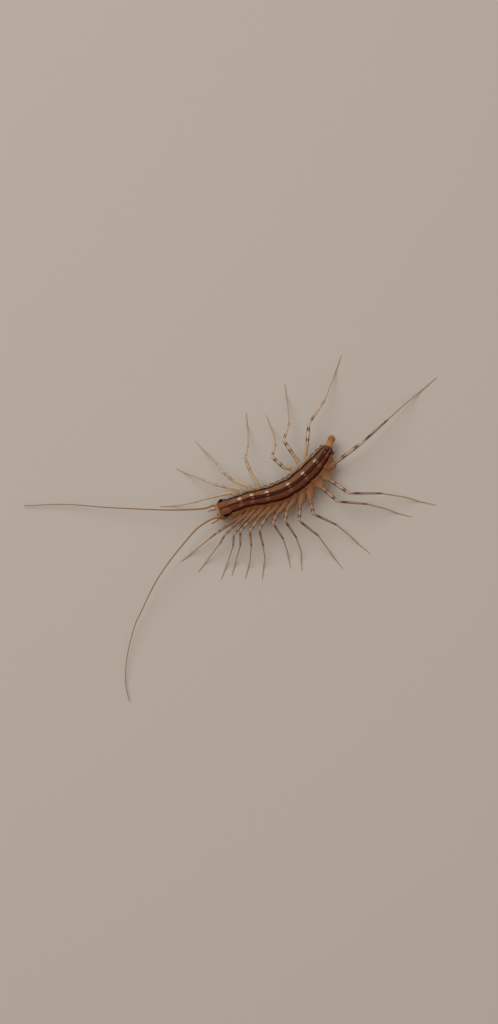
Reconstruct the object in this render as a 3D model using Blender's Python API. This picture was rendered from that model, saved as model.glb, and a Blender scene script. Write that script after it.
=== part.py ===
"""House centipede at life size, resting on the tips of its legs.

The animal heads towards -X and its right side is towards +Y.  Every shape is
drawn in millimetres and scaled to metres at the end.  Plan positions were read
by hand off the photo, in its own pixels, and are laid on the floor by on_plan.
"""
import math

import bmesh
import bpy
from mathutils import Matrix, Vector

for old in list(bpy.data.objects):
    bpy.data.objects.remove(old, do_unlink=True)

# How the photo's pixels lie on the floor.
PIXEL = 0.2                 # mm of floor to one pixel at the photo's centre
VIEW_CENTRE = (249.0, 512.0)
VIEW_DISTANCE = 284.4       # mm from the eye to the floor along the view
VIEW_TILT = math.radians(7.0)
PLAN_SHIFT = (-3.519, -2.792)   # mm, brings the middle of the box to the origin

# Driving sizes, mm.
GAP = 0.25                  # between the faces of pieces that meet
BACK_TOP = 4.0              # crest of the back plates above the floor
PLATE_EDGE = 3.15           # side edges of the back plates
PLATE_THICK = 0.45
TRUNK_FLOOR = 1.5           # underside of the trunk
COXA_HEIGHT = 2.12
COXA_RADIUS = 0.5
COXA_REACH = 0.68           # coxa past the edge of the plates
HEAD_TURN = math.radians(203.0)
HEAD_LENGTH = 2.85
HEAD_HALF_WIDTH = 1.68
HEAD_MIDDLE_Z = 2.95
LEG_SIDES = 8
FLAT_SINK = 0.12            # height of a leg's centre line where it lies on the floor

part = bpy.data.collections.new("house_centipede")
helpers = bpy.data.collections.new("cutters")
bpy.context.scene.collection.children.link(part)
bpy.context.scene.collection.children.link(helpers)


def on_plan(u, v, height):
    """The point at this height above the floor that the photo shows at (u, v)."""
    across = (u - VIEW_CENTRE[0]) * PIXEL
    up = (VIEW_CENTRE[1] - v) * PIXEL
    sine = math.sin(VIEW_TILT)
    cosine = math.cos(VIEW_TILT)
    y = up * (VIEW_DISTANCE - height * cosine) - VIEW_DISTANCE * height * sine
    y = y / (VIEW_DISTANCE * cosine - up * sine)
    depth = VIEW_DISTANCE + y * sine - height * cosine
    x = across * depth / VIEW_DISTANCE
    return Vector((x - PLAN_SHIFT[0], y - PLAN_SHIFT[1], height))


def follow(table, t):
    """A smooth value between the rows of a table whose first column is t."""
    last = len(table) - 1
    k = 0
    while k < last - 1 and t > table[k + 1][0]:
        k = k + 1
    before = table[max(k - 1, 0)]
    start = table[k]
    end = table[k + 1]
    after = table[min(k + 2, last)]
    span = end[0] - start[0]
    s = (t - start[0]) / span
    values = []
    for c in range(1, len(start)):
        slope_in = (end[c] - before[c]) / (end[0] - before[0]) * span
        slope_out = (after[c] - start[c]) / (after[0] - start[0]) * span
        h_start = 2 * s ** 3 - 3 * s ** 2 + 1
        h_in = s ** 3 - 2 * s ** 2 + s
        h_end = 3 * s ** 2 - 2 * s ** 3
        h_out = s ** 3 - s ** 2
        values.append(start[c] * h_start + slope_in * h_in + end[c] * h_end + slope_out * h_out)
    return values


# The dark stripe along the middle of the back: u, v, and half the trunk's width in mm.
STRIPE = [
    (216.0, 510.5, 1.30),
    (228.5, 505.7, 1.48),
    (238.6, 502.2, 1.42),
    (250.1, 498.4, 1.47),
    (264.9, 495.6, 1.60),
    (280.0, 491.2, 1.74),
    (292.1, 485.1, 1.75),
    (299.8, 479.3, 1.75),
    (309.1, 471.1, 1.76),
    (319.1, 460.1, 1.53),
    (324.2, 453.1, 1.24),
    (328.2, 446.8, 0.95),
    (332.9, 435.5, 0.60),
]
stations = []
travelled = 0.0
for row, (u, v, half) in enumerate(STRIPE):
    if row > 0:
        travelled = travelled + math.hypot(u - STRIPE[row - 1][0], v - STRIPE[row - 1][1])
    spot = on_plan(u, v, BACK_TOP)
    stations.append((travelled, spot.x, spot.y, half))


def back(t):
    """Point under the stripe, direction to the tail, direction to the left, half width."""
    x, y, half = follow(stations, t)
    x_next, y_next, half_next = follow(stations, t + 0.5)
    rear = Vector((x_next - x, y_next - y, 0.0)).normalized()
    left = Vector((rear.y, -rear.x, 0.0))
    return Vector((x, y, 0.0)), rear, left, half


def on_body(t, a, z):
    """A point of the trunk: t along it, a mm to the left, z mm up."""
    middle, rear, left, half = back(t)
    return middle + left * a + Vector((0.0, 0.0, z))


def add_mesh(name, bm, home, origin=(0.0, 0.0, 0.0)):
    """Turn a bmesh into an object that faces outwards, placed by its location."""
    bmesh.ops.remove_doubles(bm, verts=bm.verts, dist=0.0005)
    bmesh.ops.recalc_face_normals(bm, faces=bm.faces)
    bmesh.ops.translate(bm, vec=-Vector(origin), verts=bm.verts)
    mesh = bpy.data.meshes.new(name)
    bm.to_mesh(mesh)
    bm.free()
    thing = bpy.data.objects.new(name, mesh)
    thing.location = origin
    home.objects.link(thing)
    return thing


def loft(name, rings, home):
    """Skin over rings of equal count, closed at both ends."""
    bm = bmesh.new()
    made = []
    for ring in rings:
        made.append([bm.verts.new(point) for point in ring])
    for first, second in zip(made, made[1:]):
        for k in range(len(first)):
            n = (k + 1) % len(first)
            bm.faces.new((first[k], first[n], second[n], second[k]))
    bm.faces.new(made[0][::-1])
    bm.faces.new(made[-1])
    origin = sum(rings[0], Vector((0.0, 0.0, 0.0))) / len(rings[0])
    return add_mesh(name, bm, home, origin)


def tube(name, points, radii, home):
    """A round limb through the points, with flat closed ends."""
    curve = bpy.data.curves.new(name, "CURVE")
    curve.dimensions = "3D"
    curve.bevel_depth = 1.0
    curve.bevel_resolution = (LEG_SIDES - 4) // 2
    curve.use_fill_caps = True
    curve.twist_mode = "MINIMUM"
    spline = curve.splines.new("POLY")
    spline.points.add(len(points) - 1)
    for k, point in enumerate(points):
        spline.points[k].co = (point.x, point.y, point.z, 1.0)
        spline.points[k].radius = radii[k]
    drawn = bpy.data.objects.new(name + "_line", curve)
    home.objects.link(drawn)
    bpy.context.view_layer.update()
    shaped = drawn.evaluated_get(bpy.context.evaluated_depsgraph_get())
    mesh = bpy.data.meshes.new_from_object(shaped)
    bm = bmesh.new()
    bm.from_mesh(mesh)
    bpy.data.meshes.remove(mesh)
    bpy.data.objects.remove(drawn, do_unlink=True)
    return add_mesh(name, bm, home, points[0])


def peg(name, start, end, radius_start, radius_end, sides):
    """A round cutter or boss from one point to the other."""
    way = end - start
    turn = way.to_track_quat("Z", "Y").to_matrix().to_4x4()
    bm = bmesh.new()
    bmesh.ops.create_cone(
        bm,
        cap_ends=True,
        segments=sides,
        radius1=radius_start,
        radius2=radius_end,
        depth=way.length,
        matrix=Matrix.Translation((start + end) / 2) @ turn,
    )
    return add_mesh(name, bm, helpers)


def cut_away(thing, point, way):
    """Cut away what lies beyond a plane and close the cut."""
    bm = bmesh.new()
    bm.from_mesh(thing.data)
    found = bmesh.ops.bisect_plane(
        bm,
        geom=bm.verts[:] + bm.edges[:] + bm.faces[:],
        dist=0.00001,
        plane_co=Vector(point) - thing.location,
        plane_no=way,
        clear_outer=True,
    )
    rim = [item for item in found["geom_cut"] if isinstance(item, bmesh.types.BMEdge)]
    bmesh.ops.holes_fill(bm, edges=rim)
    bmesh.ops.recalc_face_normals(bm, faces=bm.faces)
    bm.to_mesh(thing.data)
    bm.free()


def combine(thing, others, operation):
    """Join or subtract a collection of closed meshes, keeping the largest closed surface."""
    group = bpy.data.collections.new("group")
    helpers.children.link(group)
    for other in others:
        for home in list(other.users_collection):
            home.objects.unlink(other)
        group.objects.link(other)
        other.hide_render = True
        other.display_type = "WIRE"
    step = thing.modifiers.new("combine", "BOOLEAN")
    step.operation = operation
    step.operand_type = "COLLECTION"
    step.collection = group
    step.solver = "EXACT"
    bpy.context.view_layer.update()
    shaped = thing.evaluated_get(bpy.context.evaluated_depsgraph_get())
    mesh = bpy.data.meshes.new_from_object(shaped)
    mesh.name = thing.name
    thing.modifiers.clear()
    thing.data = mesh
    for other in others:
        bpy.data.objects.remove(other, do_unlink=True)
    bpy.data.collections.remove(group)
    keep_largest(thing)


def keep_largest(thing):
    """Drop every loose scrap but the largest surface."""
    bm = bmesh.new()
    bm.from_mesh(thing.data)
    waiting = set(bm.faces)
    surfaces = []
    while waiting:
        seed = waiting.pop()
        surface = {seed}
        front = [seed]
        while front:
            face = front.pop()
            for edge in face.edges:
                for neighbour in edge.link_faces:
                    if neighbour in waiting:
                        waiting.remove(neighbour)
                        surface.add(neighbour)
                        front.append(neighbour)
        surfaces.append(surface)
    surfaces.sort(key=len)
    for scrap in surfaces[:-1]:
        bmesh.ops.delete(bm, geom=list(scrap), context="FACES")
    bmesh.ops.remove_doubles(bm, verts=bm.verts, dist=0.0005)
    bm.to_mesh(thing.data)
    bm.free()


# Trunk: one soft body under the plates, with a coxa for every leg, kept or lost.
TRUNK_FROM = 16.0
TRUNK_TO = 133.6
TRUNK_RINGS = 30


def plate_height(share):
    """Height of the plates' outer face at this share of the half width."""
    return PLATE_EDGE + (BACK_TOP - PLATE_EDGE) * (1.0 - abs(share) ** 2.2)


rings = []
for k in range(TRUNK_RINGS + 1):
    t = TRUNK_FROM + (TRUNK_TO - TRUNK_FROM) * k / TRUNK_RINGS
    half = back(t)[3]
    low = TRUNK_FLOOR
    if t < 22.0:
        low = TRUNK_FLOOR - 0.3
    under = PLATE_THICK + GAP + 0.05
    section = [
        (0.0, plate_height(0.0) - under),
        (0.45, plate_height(0.45) - under),
        (0.72, plate_height(0.72) - under),
        (0.86, 2.5),
        (0.90, 2.05),
        (0.8, low + 0.25),
        (0.4, low + 0.05),
        (0.0, low),
    ]
    mirrored = [(-share, z) for share, z in section[-2:0:-1]]
    rings.append([on_body(t, share * half, z) for share, z in section + mirrored])
trunk = loft("trunk", rings, part)

# Legs, from the photo.  Each row is the end of the prefemur, the knee, the ankle, the
# middle of the tarsus and its tip, as (u, v, height in mm).
LEGS = {
    ("right", 1): [(218.0, 495.7, 3.0), (204.4, 498.9, 4.3), (194.9, 502.4, 2.6), (180.0, 505.3, 1.0), (161.0, 506.6, 0.0)],
    ("right", 2): [(227.4, 487.4, 3.2), (212.1, 483.6, 4.6), (203.8, 480.1, 3.0), (188.5, 474.3, 1.0), (177.0, 469.0, 0.0)],
    ("right", 3): [(233.8, 481.0, 3.3), (222.0, 471.5, 4.8), (216.6, 463.8, 3.2), (208.3, 454.9, 1.3), (196.1, 442.1, 0.0)],
    ("right", 4): [(251.0, 473.4, 3.4), (245.1, 458.0, 4.8), (247.8, 445.6, 3.3), (247.8, 432.9, 1.3), (246.2, 413.4, 0.0)],
    ("right", 10): [(283.9, 467.7, 3.4), (271.9, 457.0, 5.0), (275.4, 444.5, 3.4), (273.1, 432.9, 1.4), (266.5, 415.9, 0.0)],
    ("right", 11): [(293.0, 454.5, 3.4), (283.5, 440.4, 5.0), (289.3, 423.0, 3.4), (287.2, 403.1, 1.2), (285.1, 385.2, 0.0)],
    ("right", 12): [(307.0, 446.0, 3.4), (308.8, 423.8, 5.0), (324.5, 400.6, 3.3), (332.0, 381.5, 1.3), (341.1, 356.2, 0.0)],
    ("left", 1): [(228.2, 525.2, 2.2), (216.7, 532.9, 3.8), (209.8, 538.3, 2.6), (196.0, 549.6, 0.9), (181.5, 561.2, 0.0)],
    ("left", 2): [(236.2, 522.9, 3.15), (224.7, 535.2, 4.6), (220.5, 542.8, 3.1), (210.0, 556.6, 1.1), (198.7, 571.5, 0.0)],
    ("left", 3): [(243.6, 522.3, 3.3), (233.9, 534.4, 4.6), (233.1, 545.9, 3.1), (228.5, 560.0, 1.1), (221.6, 578.4, 0.0)],
    ("left", 4): [(251.6, 519.2, 3.6), (240.4, 530.6, 4.9), (240.4, 545.1, 3.2), (236.6, 558.2, 1.2), (232.1, 575.0, 0.0)],
    ("left", 5): [(259.4, 517.2, 3.7), (250.0, 530.6, 4.8), (251.3, 545.9, 3.2), (250.0, 560.4, 1.2), (245.5, 577.7, 0.0)],
    ("left", 6): [(267.6, 515.3, 3.8), (259.1, 529.1, 5.0), (263.2, 545.9, 3.2), (264.7, 558.0, 1.3), (262.4, 578.4, 0.0)],
    ("left", 7): [(277.4, 513.1, 3.8), (272.8, 523.1, 4.9), (283.2, 538.8, 3.2), (287.3, 551.3, 1.2), (290.5, 567.8, 0.0)],
    ("left", 8): [(287.3, 509.0, 3.5), (284.8, 520.6, 5.1), (296.4, 537.6, 3.3), (301.0, 551.3, 1.2), (301.8, 569.9, 0.0)],
    ("left", 9): [(300.0, 505.6, 3.5), (298.9, 520.6, 5.1), (318.0, 535.5, 3.3), (329.6, 551.3, 1.2), (342.5, 568.3, 0.0)],
    ("left", 10): [(310.2, 500.6, 3.5), (313.4, 513.9, 5.1), (336.2, 524.7, 3.4), (349.5, 535.5, 1.5), (369.8, 553.3, 0.0)],
    ("left", 11): [(322.0, 487.7, 3.5), (337.8, 501.6, 5.2), (367.0, 504.0, 3.5), (386.1, 509.0, 1.4), (411.0, 516.9, 0.0)],
    ("left", 12): [(329.7, 480.0, 3.5), (349.3, 493.4, 5.2), (381.8, 493.4, 3.5), (405.3, 497.3, 1.4), (434.9, 504.9, 0.0)],
    ("left", 13): [(335.4, 462.8, 3.5), (362.7, 442.2, 5.2), (387.1, 420.2, 3.5), (408.0, 401.5, 1.3), (435.9, 378.1, 0.0)],
}


# Where each pair of legs leaves the trunk, along the stripe.
ROOTS = (24.0, 31.5, 39.0, 46.7, 54.0, 61.5, 69.1, 76.7, 84.7, 93.0, 102.0, 111.0, 118.7, 126.0, 131.8)


def root_of(side, number):
    """Start of a coxa, centre of its outer face, its outward direction and its radius."""
    t = ROOTS[number - 1]
    sign = 1.0 if side == "left" else -1.0
    middle, rear, left, half = back(t)
    inner = on_body(t, sign * 0.4 * half, COXA_HEIGHT)
    foot = on_body(t, sign * half, COXA_HEIGHT)
    outward = (foot - inner).normalized()
    if (side, number) in LEGS:
        u, v, height = LEGS[(side, number)][0]
        reach = (on_plan(u, v, height) - foot).normalized()
        outward = (outward + reach * 0.75).normalized()
    radius = COXA_RADIUS * min(1.0, half / 1.6)
    return inner, foot + outward * COXA_REACH, outward, radius


coxae = []
for side in ("left", "right"):
    for number in range(1, 16):
        inner, face, outward, radius = root_of(side, number)
        end_radius = radius if (side, number) in LEGS else radius * 0.8
        coxae.append(peg("coxa", inner, face, radius, end_radius, 10))
combine(trunk, coxae, "UNION")

# Back plates: eight curved shells, end to end over the trunk.
PLATE_ENDS = [15.6, 27.8, 40.2, 55.6, 79.0, 98.0, 115.8, 128.2, 134.6]
PLATE_SHAPE = [
    (0.0, 0.90, 0.0),
    (0.14, 0.97, 0.0),
    (0.45, 1.0, 0.02),
    (0.80, 1.0, 0.05),
    (0.94, 0.96, 0.07),
    (1.0, 0.88, 0.07),
]
for number in range(1, 9):
    start = PLATE_ENDS[number - 1] + 0.5 * GAP / PIXEL
    end = PLATE_ENDS[number] - 0.5 * GAP / PIXEL
    rings = []
    for along, wide, rise in PLATE_SHAPE:
        t = start + (end - start) * along
        half = back(t)[3] * wide
        outer = [(share * half, plate_height(share) + rise) for share in (1.0, 0.85, 0.6, 0.3, 0.0)]
        outer = outer + [(-a, z) for a, z in outer[-2::-1]]
        inner = [(share * half, plate_height(share) + rise - PLATE_THICK) for share in (-0.9, -0.5, 0.0, 0.5, 0.9)]
        inner = [(a, max(z, plate_height(a / half) - PLATE_THICK)) for a, z in inner]
        rings.append([on_body(t, a, z) for a, z in outer + inner])
    loft("plate_%d" % number, rings, part)

# Legs: a leg starts square to its coxa, rises to the knee, drops to the ankle and lies
# along the floor for the last of the tarsus, where it is cut flat.
CORNER = 0.28
GIRTH = {1: 0.76, 2: 0.80, 3: 0.83, 4: 0.86, 5: 0.90, 6: 0.94, 7: 0.96}


def bend(points, radii, centre, before, after, radius):
    """Three points that turn a corner at a joint."""
    points.append(centre + (before - centre).normalized() * CORNER)
    points.append(centre)
    points.append(centre + (after - centre).normalized() * CORNER)
    radii.extend((radius * 1.06, radius, radius * 1.02))


for (side, number), joints in LEGS.items():
    inner, face, outward, radius = root_of(side, number)
    spots = [on_plan(u, v, height) for u, v, height in joints[:4]]
    u, v, height = joints[4]
    tip = on_plan(u, v, FLAT_SINK)
    prefemur, knee, ankle, middle = spots
    start = face + outward * GAP
    collar = start + outward * 0.32
    points = [start, collar]
    radii = [0.44, 0.43]
    points.append(collar.lerp(prefemur, 0.3) + outward * 0.06)
    radii.append(0.42)
    points.append(collar.lerp(prefemur, 0.62) + outward * 0.02)
    radii.append(0.40)
    bend(points, radii, prefemur, collar, knee, 0.34)
    points.append(prefemur.lerp(knee, 0.55))
    radii.append(0.37)
    bend(points, radii, knee, prefemur, ankle, 0.29)
    points.append(knee.lerp(ankle, 0.5))
    radii.append(0.31)
    bend(points, radii, ankle, knee, middle, 0.26)
    points.append(middle)
    radii.append(0.25)
    landing = middle.lerp(tip, 0.45)
    landing.z = FLAT_SINK
    points.append(landing)
    radii.append(0.24)
    points.append(tip)
    radii.append(0.19)
    girth = GIRTH.get(number, 1.0)
    radii = [radius * girth for radius in radii[:-2]] + radii[-2:]
    leg = tube("leg_%s_%02d" % (side, number), points, radii, part)
    cut_away(leg, (0.0, 0.0, 0.0), (0.0, 0.0, -1.0))

# Head: a low dome, with a flat seat for everything that grows from it.
head_forward = Vector((math.cos(HEAD_TURN), math.sin(HEAD_TURN), 0.0))
head_left = Vector((-head_forward.y, head_forward.x, 0.0))
head_middle = on_plan(223.7, 508.3, HEAD_MIDDLE_Z)


def on_head(forward, a, z):
    """A point of the head: forward of its middle, a to the left, z above the floor."""
    return head_middle + head_forward * forward + head_left * a + Vector((0.0, 0.0, z - HEAD_MIDDLE_Z))


def head_way(forward, a, z):
    """A direction in the head's own sense."""
    return (on_head(forward, a, z + HEAD_MIDDLE_Z) - on_head(0.0, 0.0, HEAD_MIDDLE_Z)).normalized()


HEAD_SHAPE = [
    (-0.46, 0.80, 3.70, 2.25),
    (-0.32, 0.96, 3.86, 2.12),
    (-0.08, 1.0, 3.94, 2.08),
    (0.14, 0.99, 3.88, 2.08),
    (0.32, 0.86, 3.68, 2.12),
    (0.44, 0.62, 3.42, 2.25),
    (0.50, 0.34, 3.18, 2.45),
]
rings = []
for along, wide, top, bottom in HEAD_SHAPE:
    ring = []
    for k in range(18):
        angle = math.tau * k / 18
        sine = math.sin(angle)
        cosine = math.cos(angle)
        a = math.copysign(abs(cosine) ** 0.85, cosine) * wide * HEAD_HALF_WIDTH
        reach = (top - HEAD_MIDDLE_Z) if sine > 0.0 else (HEAD_MIDDLE_Z - bottom)
        z = HEAD_MIDDLE_Z + math.copysign(abs(sine) ** 0.85, sine) * reach
        ring.append(on_head(along * HEAD_LENGTH, a, z))
    rings.append(ring)
head = loft("head", rings, part)


cutters = []
roots = {}
for side, sign in (("left", 1.0), ("right", -1.0)):
    eye_way = head_way(0.30, 0.92 * sign, 0.28)
    eye_seat = on_head(0.05, 1.38 * sign, 3.30)
    cutters.append(peg("seat", eye_seat, eye_seat + eye_way * 1.6, 0.8, 0.8, 14))
    roots["eye", side] = (eye_seat, eye_way)
    feeler_way = head_way(0.78, 0.60 * sign, 0.18)
    feeler_seat = on_head(1.0, 0.78 * sign, 2.95)
    cutters.append(peg("seat", feeler_seat, feeler_seat + feeler_way * 1.6, 0.45, 0.45, 14))
    roots["antenna", side] = (feeler_seat, feeler_way)
    palp_way = head_way(0.95, 0.2 * sign, -0.30)
    palp_seat = on_head(1.08, 0.42 * sign, 2.46)
    cutters.append(peg("seat", palp_seat, palp_seat + palp_way * 1.6, 0.44, 0.44, 14))
    roots["palp", side] = (palp_seat, palp_way)
combine(head, cutters, "DIFFERENCE")

# Eyes: the outer half of an oval ball, flat on its seat.
EYE_SIZE = (0.56, 0.40, 0.34)
for side in ("left", "right"):
    seat, way = roots["eye", side]
    centre = seat + way * GAP
    along = (head_forward - way * head_forward.dot(way)).normalized()
    turn = Matrix((along, way.cross(along), way)).transposed().to_4x4()
    bm = bmesh.new()
    bmesh.ops.create_uvsphere(bm, u_segments=16, v_segments=8, radius=1.0)
    bmesh.ops.transform(bm, verts=bm.verts, matrix=turn @ Matrix.Diagonal((*EYE_SIZE, 1.0)))
    bmesh.ops.translate(bm, vec=centre, verts=bm.verts)
    eye = add_mesh("eye_%s" % side, bm, part, centre)
    cut_away(eye, centre, -way)

# Antennae: whips that arch off the head and sink towards the floor.
ANTENNAE = {
    "right": [
        (208.3, 507.5, 3.5),
        (200.6, 508.9, 3.9),
        (185.3, 509.7, 4.2),
        (170.0, 510.0, 4.1),
        (150.0, 509.5, 3.6),
        (120.2, 508.1, 2.7),
        (102.3, 507.1, 2.2),
        (81.9, 505.3, 1.6),
        (65.9, 504.4, 1.2),
        (50.0, 504.6, 0.9),
        (24.0, 505.8, 0.5),
    ],
    "left": [
        (215.0, 518.0, 3.4),
        (208.3, 520.9, 3.9),
        (201.9, 525.0, 4.2),
        (195.5, 530.0, 4.4),
        (183.5, 543.8, 4.3),
        (170.5, 560.0, 3.9),
        (157.1, 579.6, 3.3),
        (149.1, 594.8, 2.8),
        (142.0, 610.0, 2.3),
        (135.7, 623.4, 1.9),
        (131.3, 637.7, 1.5),
        (128.1, 651.1, 1.1),
        (125.9, 667.1, 0.8),
        (125.6, 680.5, 0.6),
        (126.7, 690.0, 0.5),
        (129.3, 700.6, 0.5),
    ],
}
for side, rows in ANTENNAE.items():
    seat, way = roots["antenna", side]
    start = seat + way * GAP
    points = [start, start + way * 0.35, start + way * 0.75]
    points.extend(on_plan(u, v, height) for u, v, height in rows)
    travelled = 0.0
    lengths = [0.0]
    for first, second in zip(points, points[1:]):
        travelled = travelled + (second - first).length
        lengths.append(travelled)
    radii = [0.27 - 0.07 * (length / travelled) ** 1.5 for length in lengths]
    tube("antenna_%s" % side, points, radii, part)

# Palps: short feelers that reach out from under the front of the head.
PALPS = {
    "right": [(213.0, 510.4, 1.95), (210.7, 510.4, 1.75), (208.2, 512.1, 1.5)],
    "left": [(218.6, 519.4, 2.0), (216.0, 521.4, 1.85), (213.6, 522.9, 1.7), (211.4, 523.5, 1.5)],
}
for side, rows in PALPS.items():
    seat, way = roots["palp", side]
    start = seat + way * GAP
    points = [start, start + way * 0.25]
    points.extend(on_plan(u, v, height) for u, v, height in rows)
    radii = [0.25 - 0.06 * k / (len(points) - 1) for k in range(len(points))]
    tube("palp_%s" % side, points, radii, part)

# Poison claws: curved hooks that start at the front of the trunk, under the head; the left
# one is opened a little.  Each row is mm ahead of the trunk, mm out, height and radius.
CLAWS = {
    "left": [
        (0.40, 0.89, 1.57, 0.37),
        (0.80, 1.38, 1.55, 0.37),
        (1.35, 1.72, 1.52, 0.34),
        (1.90, 1.78, 1.48, 0.30),
        (2.40, 1.55, 1.44, 0.25),
        (2.75, 1.15, 1.40, 0.19),
        (2.90, 0.78, 1.40, 0.12),
    ],
    "right": [
        (0.35, 0.86, 1.57, 0.37),
        (0.80, 1.10, 1.52, 0.36),
        (1.35, 1.20, 1.46, 0.32),
        (1.85, 1.02, 1.42, 0.27),
        (2.20, 0.72, 1.40, 0.21),
        (2.38, 0.42, 1.40, 0.13),
    ],
}
for side, sign in (("left", 1.0), ("right", -1.0)):
    forward = -back(TRUNK_FROM)[1]
    root = on_body(TRUNK_FROM, 0.80 * sign, 1.58) + forward * GAP
    points = [root]
    radii = [0.36]
    for ahead, a, z, radius in CLAWS[side]:
        spot = on_body(TRUNK_FROM, a * sign, z)
        points.append(spot + forward * (ahead + GAP))
        radii.append(radius)
    tube("forcipule_%s" % side, points, radii, part)

# Tail: a short cone that ends in a rounded knob.
TAIL = (
    (134.9, 0.84, 2.50),
    (136.4, 0.80, 2.48),
    (138.6, 0.70, 2.43),
    (140.6, 0.64, 2.38),
    (142.6, 0.68, 2.34),
    (144.4, 0.67, 2.31),
    (145.9, 0.50, 2.30),
    (146.8, 0.24, 2.30),
)
points = [on_body(t, 0.0, z) for t, radius, z in TAIL]
tube("tail", points, [radius for t, radius, z in TAIL], part)

# Colours, one material to each piece, and the change to metres.
PLATE_BROWN = (0.22, 0.11, 0.06, 1.0)
COLOURS = (
    ("trunk", (0.42, 0.24, 0.12, 1.0)),
    ("plate", PLATE_BROWN),
    ("head", (0.30, 0.15, 0.08, 1.0)),
    ("eye", (0.01, 0.01, 0.01, 1.0)),
    ("antenna", (0.40, 0.22, 0.09, 1.0)),
    ("palp", (0.40, 0.22, 0.09, 1.0)),
    ("forcipule", (0.45, 0.22, 0.08, 1.0)),
    ("tail", (0.42, 0.22, 0.08, 1.0)),
    ("leg", (0.45, 0.30, 0.16, 1.0)),
)
middle = bpy.data.objects.new("centipede", None)
part.objects.link(middle)
for thing in list(part.objects):
    if thing.type != "MESH":
        continue
    thing.data.transform(Matrix.Scale(0.001, 4))
    thing.location = thing.location * 0.001
    thing.parent = middle
    thing.data.shade_smooth()
    thing.data.set_sharp_from_angle(angle=math.radians(40.0))
    for stem, colour in COLOURS:
        if thing.name.startswith(stem):
            look = bpy.data.materials.new(thing.name)
            look.use_nodes = True
            surface = look.node_tree.nodes["Principled BSDF"]
            surface.inputs["Base Color"].default_value = colour
            surface.inputs["Roughness"].default_value = 0.15 if stem == "eye" else 0.45
            thing.data.materials.clear()
            thing.data.materials.append(look)
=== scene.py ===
import math
import random

import bmesh
import bpy
from mathutils import Matrix, Vector, kdtree


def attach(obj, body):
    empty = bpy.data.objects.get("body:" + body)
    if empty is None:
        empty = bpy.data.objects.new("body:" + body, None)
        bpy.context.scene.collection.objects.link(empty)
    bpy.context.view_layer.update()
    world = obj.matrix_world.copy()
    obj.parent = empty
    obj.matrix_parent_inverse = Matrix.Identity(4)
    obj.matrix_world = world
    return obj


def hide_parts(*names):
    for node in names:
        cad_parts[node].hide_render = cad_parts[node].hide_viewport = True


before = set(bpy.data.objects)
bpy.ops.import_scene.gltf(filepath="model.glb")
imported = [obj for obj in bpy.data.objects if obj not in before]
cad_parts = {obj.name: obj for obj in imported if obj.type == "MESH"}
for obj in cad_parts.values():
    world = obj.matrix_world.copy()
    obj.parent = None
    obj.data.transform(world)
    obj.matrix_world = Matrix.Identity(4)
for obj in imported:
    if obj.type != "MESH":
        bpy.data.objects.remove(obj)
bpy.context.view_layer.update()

# Table, lamps and camera: the animal rests on a plain pale board under a broad soft lamp
# from the upper left, and the camera looks down on it, leaning a little to its left side,
# so that a pixel of the picture is a fifth of a millimetre of the board.
VIEW_DISTANCE = 284.4
VIEW_TILT = math.radians(7.0)
PLAN_SHIFT = (-3.519, -2.792)
BOARD_TONE = (0.665, 0.635, 0.615, 1.0)
BOARD_SHADE = (0.56, 0.50, 0.46, 1.0)
BOARD_REACH = 8.0
SKY_TONE = (1.0, 0.78, 0.58, 1.0)
MM = 0.001

scene = bpy.context.scene
scene.view_settings.view_transform = "Standard"
look_at = Vector((-PLAN_SHIFT[0], -PLAN_SHIFT[1], 0.0)) * MM
look_from = Vector((0.0, -math.sin(VIEW_TILT), math.cos(VIEW_TILT))) * VIEW_DISTANCE * MM


def place(name, data):
    """An object with this data, put into the scene."""
    made = bpy.data.objects.new(name, data)
    scene.collection.objects.link(made)
    return made


camera_data = bpy.data.cameras.new("camera")
camera_data.lens = 50.0
camera_data.sensor_width = 36.0
camera_data.clip_start = 0.001
camera = place("camera", camera_data)
camera.location = look_at + look_from
camera.rotation_euler = (VIEW_TILT, 0.0, 0.0)
scene.camera = camera


def hang_lamp(name, spot, size, power, tone):
    """A square soft lamp that faces the middle of the board."""
    data = bpy.data.lights.new(name, "AREA")
    data.size = size
    data.energy = power
    data.color = tone
    lamp = place(name, data)
    lamp.location = spot
    lamp.rotation_euler = (-Vector(spot)).to_track_quat("-Z", "Y").to_euler()


hang_lamp("window_lamp", (-0.36, 0.36, 0.70), 0.75, 4.0, (1.0, 0.985, 0.965))
hang_lamp("fill_lamp", (0.45, -0.35, 0.80), 0.80, 1.1, (1.0, 0.82, 0.66))
sky = bpy.data.worlds.new("sky")
sky.use_nodes = True
sky.node_tree.nodes["Background"].inputs["Color"].default_value = SKY_TONE
sky.node_tree.nodes["Background"].inputs["Strength"].default_value = 0.24
scene.world = sky


def add_node(tree, kind, feeds=(), **settings):
    """A shader node with its settings, fed by other nodes' outputs or by plain values."""
    made = tree.nodes.new(kind)
    for word, value in settings.items():
        setattr(made, word, value)
    for socket, value in feeds:
        if isinstance(value, bpy.types.NodeSocket):
            tree.links.new(value, made.inputs[socket])
        else:
            made.inputs[socket].default_value = value
    return made


def reckon(tree, operation, *values):
    """The result of a sum on one to three values."""
    return add_node(tree, "ShaderNodeMath", list(enumerate(values)), operation=operation).outputs[0]


def times(tree, one, other):
    """One value times another."""
    return reckon(tree, "MULTIPLY", one, other)


def tint(tree, share, under, over, way="MIX"):
    """One colour laid over another by a share."""
    feeds = [(0, share), (6, under), (7, over)]
    return add_node(tree, "ShaderNodeMix", feeds, data_type="RGBA", blend_type=way).outputs[2]


def stain(tree, tone, share, strength, colour):
    """The tone with a colour laid over it, by a share of this strength."""
    return tint(tree, times(tree, share, strength), tone, colour)


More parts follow.
